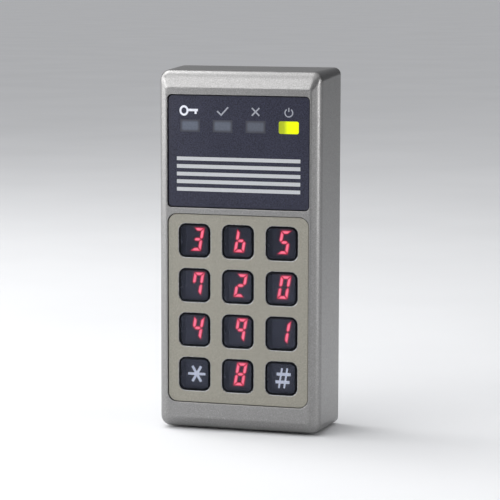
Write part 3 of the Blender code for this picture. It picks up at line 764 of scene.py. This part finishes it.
# Indicator windows: three unlit with soft edges, one lit.
for n, (label, ix) in enumerate(INDICATORS):
    box = (ix - IND_W / 2, ix + IND_W / 2, IND_Z - IND_H / 2, IND_Z + IND_H / 2)
    if label == "power":
        shape = lofted([(INK_BACK_D, *box, 0.85), (INK_D, *box, 0.85)], 8)
        piece("indicator_pane_power", shape, INDICATOR_LIT, smooth=0)
        continue
    shade = Mat(f"indicator_pane_{label}", rough=0.42)
    level = shade.attribute("glow")
    # the unlit panes are darker from left to right: painted shade, following the light that falls from the left
    tone = ((0.090, 0.105, 0.143), (0.085, 0.098, 0.131), (0.075, 0.085, 0.113))[n]
    grain = shade.ramp(shade.noise(1300.0, 4.0, 0.6), (0.3, tuple(c * 0.84 for c in tone)), (0.7, tuple(c * 1.14 for c in tone)))
    shade.set("Base Color", shade.mix(level, (0.027, 0.028, 0.043), grain))
    shade.bump(shade.noise(2600.0, 3.0), 0.12, 0.012)
    def soft(x, z):
        near = min(IND_W / 2 - abs(x), IND_H / 2 - abs(z))
        corner = math.hypot(max(abs(x) - IND_W / 2 + 1.6, 0.0), max(abs(z) - IND_H / 2 + 1.6, 0.0))
        t = max(0.0, min(1.0, min(near, 1.6 - corner) / 1.5))
        return t * t * (3 - 2 * t)

    shape = soft_plate(IND_W, IND_H, 34, 20, INK_D, INK_BACK_D, soft, ix, IND_Z)
    piece(f"indicator_pane_{label}", shape, shade.mat, smooth=0)

# ---------------------------------------------------------------- bezel
bezel_face = (-BEZ_X + 0.2, BEZ_X - 0.2, BEZ_LOW + 0.2, BEZ_TOP - 0.2, BEZ_R - 0.2)
bezel_flange = (-BEZEL_FLANGE_X, BEZEL_FLANGE_X, BEZEL_FLANGE_LOW, BEZEL_FLANGE_TOP, 3.0)
bezel = piece(
    "bezel_plate",
    lofted([(BEZEL_BACK_D, *bezel_flange), (BEZEL_STEP_D, *bezel_flange), (BEZEL_STEP_D, *bezel_face)]
           + front_round(BEZEL_D, *bezel_face, 0.25, 4), 10),
    [BEIGE, HOLE_WALL_SHADE, HOLE_ROUND_HIGHLIGHT], body=None,
)
holes = bmesh.new()
for _, kz in ROWS:
    for _, kx in COLUMNS:
        w, h = HOLE_W / 2, HOLE_H / 2
        lofted(flare(kx - w, kx + w, kz - h, kz + h, HOLE_R, BEZEL_D, 0.4, 6.0, 6, -1.0), 8, holes)
boolean(bezel, holes)
# the walls of the holes are black, a painted shade in the gaps round the keys; only its front is painted beige, and the
# rounds of the holes take a lighter, bluer, glossier paint, a painted highlight on their rims
for face in bezel.data.polygons:
    mid = face.center / MM
    outside = abs(mid.x) > BEZ_X - 0.6 or mid.z > BEZ_TOP - 0.6 or mid.z < BEZ_LOW + 0.6
    if mid.y > depth(BEZEL_D + 0.33):
        face.material_index = 0 if outside else 1
    else:
        face.material_index = 2 if face.normal.y > -0.97 and not outside else 0
resmooth(bezel, 35)
weigh(bezel)
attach(bezel, HOUSING)
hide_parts("keypad_bezel")

# ---------------------------------------------------------------- keys
cap_w, cap_h = HOLE_W / 2 - KEY_GAP, HOLE_H / 2 - KEY_GAP
cap = (-cap_w, cap_w, -cap_h, cap_h, HOLE_R - KEY_GAP)
key_flange = (-FLANGE_W / 2, FLANGE_W / 2, -FLANGE_H / 2, FLANGE_H / 2, FLANGE_R)
key = piece(
    "key_tool",
    lofted([(KEY_BACK_D, -4.8, 4.8, -6.25, 6.25, 0.8), (KEY_BACK_D, *key_flange), (FLANGE_D, *key_flange), (FLANGE_D, *cap)]
           + front_round(KEY_D, *cap, KEY_ROUND, 8), 10),
    [SMOKED_KEY, KEY_SKIRT], body=None,
)
legs = bmesh.new()
for side in (-1, 1):
    x0, x1 = sorted((side * KEY_LEG_IN, side * KEY_LEG_OUT))
    block(x0, x1, KEY_BACK_D - 0.6, KEY_LEG_D, -KEY_LEG_Z, KEY_LEG_Z, legs)
boolean(key, legs, "UNION")
resmooth(key, 30)
key_mesh = key.data
# a two-shot cap: clear smoked face and rear window, opaque skirt, flange and legs
for face in key_mesh.polygons:
    mid = face.center / MM
    rear = face.normal.y > 0.9 and abs(mid.x) < 0.5 and abs(mid.z) < 0.5
    ahead = face.normal.y < -0.97 and mid.y < depth(KEY_D + 0.2)
    face.material_index = 0 if rear or ahead else 1
bpy.data.objects.remove(key, do_unlink=True)
for row, kz in ROWS:
    for column, kx in COLUMNS:
        mesh = key_mesh.copy()
        mesh.name = f"cap_{row}_{column}"
        one = bpy.data.objects.new(f"cap_{row}_{column}", mesh)
        for v in mesh.vertices:
            v.co += Vector((kx * MM, 0, kz * MM))
        bpy.context.scene.collection.objects.link(one)
        weigh(one)
        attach(one, f"key_{row}_{column}")
        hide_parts(f"key_{row}_{column}")

# ---------------------------------------------------------------- digits
DIGIT_W, DIGIT_H, STROKE, SLANT = 4.6, 9.95, 1.38, math.tan(math.radians(10.0))


def segments():
    """The seven outlines of a digit, before it is slanted."""
    W, H, T, q = DIGIT_W / 2, DIGIT_H / 2, STROKE, 0.16
    a = [(-W + q, H), (W - q, H), (W - T - q, H - T), (-W + T + q, H - T)]
    b = [(W, H - q), (W - T, H - T - q), (W - T, T / 2 + q), (W - T / 2, q * 0.8), (W, T / 2 + q * 0.6)]
    g = [(-W + T / 2 + q, 0.0), (-W + T + q, T / 2), (W - T - q, T / 2), (W - T / 2 - q, 0.0), (W - T - q, -T / 2), (-W + T + q, -T / 2)]
    mirror_x = lambda s: [(-x, z) for x, z in s][::-1]
    mirror_z = lambda s: [(x, -z) for x, z in s][::-1]
    f = mirror_x(b)
    return {"a": a, "b": b, "c": mirror_z(b), "d": mirror_z(a), "e": mirror_z(f), "f": f, "g": g}


SHAPES = {
    "3": "abcdg", "6": "fedcg", "5": "afgcd", "7": "fabc", "2": "abged",
    "0": "abcdef", "4": "fgbc", "9": "abfgc", "1": "bc", "8": "abcdefg",
}
LAYOUT = {
    ("row1", "left"): "3", ("row1", "mid"): "6", ("row1", "right"): "5",
    ("row2", "left"): "7", ("row2", "mid"): "2", ("row2", "right"): "0",
    ("row3", "left"): "4", ("row3", "mid"): "9", ("row3", "right"): "1",
    ("row4", "mid"): "8",
}


def distance_to(outline, x, z):
    """Distance from a point to a convex outline, 0 inside."""
    inside, best = True, 1e9
    n = len(outline)
    area = sum(outline[i][0] * outline[(i + 1) % n][1] - outline[(i + 1) % n][0] * outline[i][1] for i in range(n))
    for i in range(n):
        (x0, z0), (x1, z1) = outline[i], outline[(i + 1) % n]
        dx, dz = x1 - x0, z1 - z0
        if (dx * (z - z0) - dz * (x - x0)) * area < 0:
            inside = False
        t = max(0.0, min(1.0, ((x - x0) * dx + (z - z0) * dz) / (dx * dx + dz * dz)))
        best = min(best, math.hypot(x - x0 - t * dx, z - z0 - t * dz))
    return 0.0 if inside else best


DIGIT_DX, DIGIT_DZ = -0.13, 0.0
for (row, column), digit in LAYOUT.items():
    kx, kz = dict(COLUMNS)[column], dict(ROWS)[row]
    lit = []
    for letter, outline in segments().items():
        if letter in SHAPES[digit]:
            lit.append([(x + z * SLANT + DIGIT_DX, z + DIGIT_DZ) for x, z in outline])
    shape = bmesh.new()
    layer = shape.verts.layers.float.new("glow")
    for outline in lit:
        glowing_prism(shape, layer, outline, DISPLAY_D - 0.16, DISPLAY_D - 0.09, [(0.0, 0.34), (0.2, 0.55), (0.38, 1.0)])
    piece(f"digit_{row}_{column}", shape, LIT_SEGMENTS, smooth=0, at=(kx, kz))
    # painted glow: brightest next to the lit segments, fading out within 0.95 mm of them
    halo = lambda x, z: max(0.0, 1.0 - min(distance_to(outline, x, z) for outline in lit) / 0.95)
    face = soft_plate(DISPLAY_W - 0.1, DISPLAY_H - 0.1, 48, 62, DISPLAY_D - 0.07, DISPLAY_D - 0.02, halo)
    piece(f"display_face_{row}_{column}", face, DISPLAY_FACE_GLOW, smooth=0, at=(kx, kz))

# ---------------------------------------------------------------- star and hash
SYMBOL_D, SYMBOL_BACK_D = KEY_BACK_D + 0.02, KEY_BACK_D + 0.07


def symbol(name, strokes, body, at):
    obj = None
    for points, width in strokes:
        bm = ribbon(bmesh.new(), points, width, SYMBOL_D, SYMBOL_BACK_D)
        bmesh.ops.translate(bm, vec=(at[0], 0, at[1]), verts=bm.verts)
        if obj is None:
            obj = piece(name, bm, KEY_PRINT, body=None, smooth=0)
        else:
            boolean(obj, bm, "UNION")
    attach(obj, body)
    return obj


star = []
for angle in (0, 60, 120):
    reach = 3.85
    dx, dz = reach * math.cos(math.radians(angle)), reach * math.sin(math.radians(angle))
    star.append(([(-dx, -dz), (dx, dz)], 1.08))
symbol("symbol_star", star, "key_row4_left", (-PITCH, ROWS[3][1] - 0.5))
lean = math.tan(math.radians(9.0))
hash_strokes = [([(-3.05 + s * 0.25, s * 1.68), (3.05 + s * 0.25, s * 1.68)], 1.3) for s in (-1, 1)]
hash_strokes += [([(s * 1.15 - 4.3 * lean, -4.3), (s * 1.15 + 4.3 * lean, 4.3)], 0.78) for s in (-1, 1)]
symbol("symbol_hash", hash_strokes, "key_row4_right", (PITCH, ROWS[3][1] - 0.4))

# ---------------------------------------------------------------- silicone mat and its domes
mat_outline = (-MAT_X, MAT_X, MAT_LOW, MAT_TOP, 2.0)
sheet = piece("mat_sheet", lofted([(MAT_BACK_D, *mat_outline), (MAT_D, *mat_outline)], 8), SILICONE, body=None)
windows = bmesh.new()
for row, kz in ROWS:
    for column, kx in COLUMNS:
        if row != "row4" or column == "mid":
            w, h = DISPLAY_W / 2 + 0.3, DISPLAY_H / 2 + 0.3
            lofted([(MAT_BACK_D + 1, kx - w, kx + w, kz - h, kz + h, 0.4), (MAT_D - 1, kx - w, kx + w, kz - h, kz + h, 0.4)], 3, windows)
boolean(sheet, windows)
resmooth(sheet)
weigh(sheet)
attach(sheet, HOUSING)
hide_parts("key_mat")
for row, kz in ROWS:
    for column, kx in COLUMNS:
        for side, end in ((-1, "a"), (1, "b")):
            profile = [(MAT_D - 0.01, DOME_R + 0.1), (MAT_D - 0.15, DOME_R), (MAT_D - 0.6, DOME_R - 0.12), (MAT_D - 1.05, DOME_TOP_R + 0.2),
                       (DOME_D + 0.25, DOME_TOP_R + 0.03), (DOME_D + 0.06, DOME_TOP_R - 0.08), (DOME_D, DOME_TOP_R - 0.3)]
            dome = piece(f"dome_{row}_{column}_{end}", turned(profile, 24, kx + side * DOME_X, kz), SILICONE, smooth=50)
            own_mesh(dome)

# ---------------------------------------------------------------- base plate and what shows from behind
plate = (-BASE_X, BASE_X, -BASE_Z, BASE_Z, BASE_R)
near_edge = lambda inset: (-BASE_X + inset, BASE_X - inset, -BASE_Z + inset, BASE_Z - inset, BASE_R - inset)
base = piece(
    "base_tray",
    lofted([(DEPTH, *near_edge(0.6)), (DEPTH - 0.1, *near_edge(0.28)), (DEPTH - 0.32, *near_edge(0.07)), (DEPTH - 0.6, *near_edge(0.0)), (BASE_RIM_D, *plate)], 8),
    BASE_STEEL, body=None,
)
boolean(base, lofted([(BASE_D, *near_edge(BASE_RIM_T + 0.5)), (BASE_D - 0.5, *near_edge(BASE_RIM_T)), (BASE_RIM_D - 2, *near_edge(BASE_RIM_T))], 6))
adds = bmesh.new()
for side in (-1, 1):
    block(side * 18 - 4, side * 18 + 4, 25.5, BASE_D + 0.8, 70.4, 72.0, adds)
block(-5, 5, 20.0, BASE_D + 0.8, -72.0, -70.0, adds)
boolean(base, adds, "UNION")
hooks = bmesh.new()
for side in (-1, 1):
    block(side * 18 - 4, side * 18 + 4, 25.5, 27.0, 71.2, 75.5, hooks)
boolean(base, hooks, "UNION")
cuts = bmesh.new()
turned([(DEPTH + 2, ENTRY_R + 0.3), (DEPTH, ENTRY_R + 0.3), (DEPTH - 0.3, ENTRY_R), (BASE_D - 2, ENTRY_R)], 64, 0, ENTRY_Z, cuts)
for z, w, h in ((SLOT_Z, SLOT_W, SLOT_L), (-SLOT_Z, SLOT_L, SLOT_W)):
    slot = (-w / 2, w / 2, z - h / 2, z + h / 2, SLOT_W / 2 - 0.01)
    wide = (-w / 2 - 0.3, w / 2 + 0.3, z - h / 2 - 0.3, z + h / 2 + 0.3, SLOT_W / 2 + 0.29)
    lofted([(DEPTH + 2, *wide), (DEPTH, *wide), (DEPTH - 0.3, *slot), (BASE_D - 2, *slot)], 12, cuts)
boolean(base, cuts)
boolean(base, upright([(-76, 1.85), (-66, 1.85)], COVER_SCREW_D, 0.0, 24))
resmooth(base, 30)
weigh(base)
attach(base, HOUSING)
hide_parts("base_plate")

grommet = piece(
    "grommet_ring",
    turned([(32.8, 7.35), (32.72, 7.55), (32.5, 7.65), (30.5, 7.65), (30.5, 9.4), (30.3, 9.6), (29.4, 9.6), (29.05, 9.4), (28.9, 9.1)], 64, 0, ENTRY_Z),
    RUBBER, body=None,
)
boolean(grommet, turned([(34, GROMMET_HOLE_R + 0.5), (32.8, GROMMET_HOLE_R + 0.5), (32.3, GROMMET_HOLE_R), (29.4, GROMMET_HOLE_R), (28.9, GROMMET_HOLE_R + 0.5), (27, GROMMET_HOLE_R + 0.5)], 48, 0, ENTRY_Z))
resmooth(grommet, 40)
weigh(grommet)
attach(grommet, HOUSING)
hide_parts("cable_grommet")

screw = piece(
    "screw_in_edge",
    upright([(-76.45, 1.9), (-76.4, 2.25), (-76.2, 2.58), (-75.95, 2.7), (-75.1, 2.7), (-75.1, 1.5), (-68.9, 1.5), (-68.3, 1.0)], COVER_SCREW_D, 0.0, 40),
    STEEL, body=None,
)
recess = bmesh.new()
block(-1.75, 1.75, COVER_SCREW_D - 0.28, COVER_SCREW_D + 0.28, -77.0, -75.45, recess)
boolean(screw, recess)
recess = bmesh.new()
block(-0.28, 0.28, COVER_SCREW_D - 1.75, COVER_SCREW_D + 1.75, -77.0, -75.45, recess)
boolean(screw, recess)
resmooth(screw, 30)
weigh(screw)
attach(screw, HOUSING)
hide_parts("cover_screw")

# ---------------------------------------------------------------- floor and light
FLOOR_Z = CAD_BOX[0][2] - 0.0002


def plane(name, size, location, mat):
    bm = bmesh.new()
    bmesh.ops.create_grid(bm, x_segments=1, y_segments=1, size=size)
    mesh = bpy.data.meshes.new(name)
    bm.to_mesh(mesh)
    bm.free()
    mesh.materials.append(mat)
    obj = bpy.data.objects.new(name, mesh)
    obj.location = location
    bpy.context.scene.collection.objects.link(obj)
    return obj


f = Mat("floor", rough=0.9, Specular_IOR_Level=0.12)
f.set("Base Color", f.ramp(f.noise(6.0, 3.0), (0.3, (0.70, 0.705, 0.715)), (0.7, (0.73, 0.735, 0.745))))
f.bump(f.noise(300.0, 2.0), 0.05, 0.2)
plane("floor", 40.0, (0, 0, FLOOR_Z), f.mat)

world = bpy.data.worlds.new("studio")
bpy.context.scene.world = world
world.use_nodes = True
sky = world.node_tree
looking = sky.nodes.new("ShaderNodeTexCoord").outputs["Generated"]
toward = sky.nodes.new("ShaderNodeVectorMath")
toward.operation = "DOT_PRODUCT"
toward.inputs[1].default_value = (-0.85, -0.53, 0.0)
sky.links.new(looking, toward.inputs[0])
shade = sky.nodes.new("ShaderNodeMapRange")
shade.inputs["From Min"].default_value, shade.inputs["From Max"].default_value = -0.9, 0.9
sky.links.new(toward.outputs["Value"], shade.inputs["Value"])
tone = sky.nodes.new("ShaderNodeValToRGB")
tone.color_ramp.elements[0].color = (0.06, 0.062, 0.068, 1.0)
tone.color_ramp.elements[1].color = (0.62, 0.625, 0.64, 1.0)
sky.links.new(shade.outputs[0], tone.inputs["Fac"])
# the wall seen directly is pale; the object is lit by the graded one
wall = sky.nodes.new("ShaderNodeMix")
wall.data_type = "RGBA"
wall.inputs[7].default_value = (0.60, 0.61, 0.63, 1.0)
sky.links.new(sky.nodes.new("ShaderNodeLightPath").outputs["Is Camera Ray"], wall.inputs["Factor"])
sky.links.new(tone.outputs["Color"], wall.inputs[6])
sky.links.new(wall.outputs[2], sky.nodes["Background"].inputs["Color"])
sky.nodes["Background"].inputs["Strength"].default_value = 1.0


def softbox(name, location, target, width, height, radiance, colour=(1.0, 1.0, 1.0)):
    data = bpy.data.lights.new(name, "AREA")
    data.shape = "RECTANGLE"
    data.size, data.size_y = width, height
    data.energy = radiance * math.pi * width * height
    data.color = colour
    obj = bpy.data.objects.new(name, data)
    obj.location = location
    obj.rotation_euler = (Vector(target) - Vector(location)).to_track_quat("-Z", "Y").to_euler()
    bpy.context.scene.collection.objects.link(obj)
    obj.visible_camera = False
    return obj


softbox("key_light", (-0.165, -0.375, 0.36), (0, 0, 0), 0.37, 0.28, 2.2)
softbox("front_light", (-0.25, -0.45, 0.07), (0, 0, 0.03), 0.16, 0.16, 1.5)
softbox("floor_light", (-0.5, 0.12, 0.72), (-0.3, 0.1, -0.08), 0.5, 0.5, 4.0)
softbox("corner_light", (-0.88, -0.60, 0.47), (0, 0, 0.05), 0.62, 0.42, 4.8)
softbox("top_light", (-0.25, -0.05, 1.6), (0, 0, 0), 1.3, 0.8, 0.9)
softbox("left_light", (-1.1, 0.08, 0.36), (0, 0, 0.05), 0.7, 0.86, 2.7)
softbox("ridge_light", (1.3, -0.11, 0.33), (0, 0, 0.1), 0.34, 0.8, 6.2)

overhead = bpy.data.objects.new("overhead", bpy.data.lights.new("overhead", "SUN"))
overhead.data.energy, overhead.data.angle = 0.75, math.radians(80)
bpy.context.scene.collection.objects.link(overhead)

bpy.context.view_layer.update()
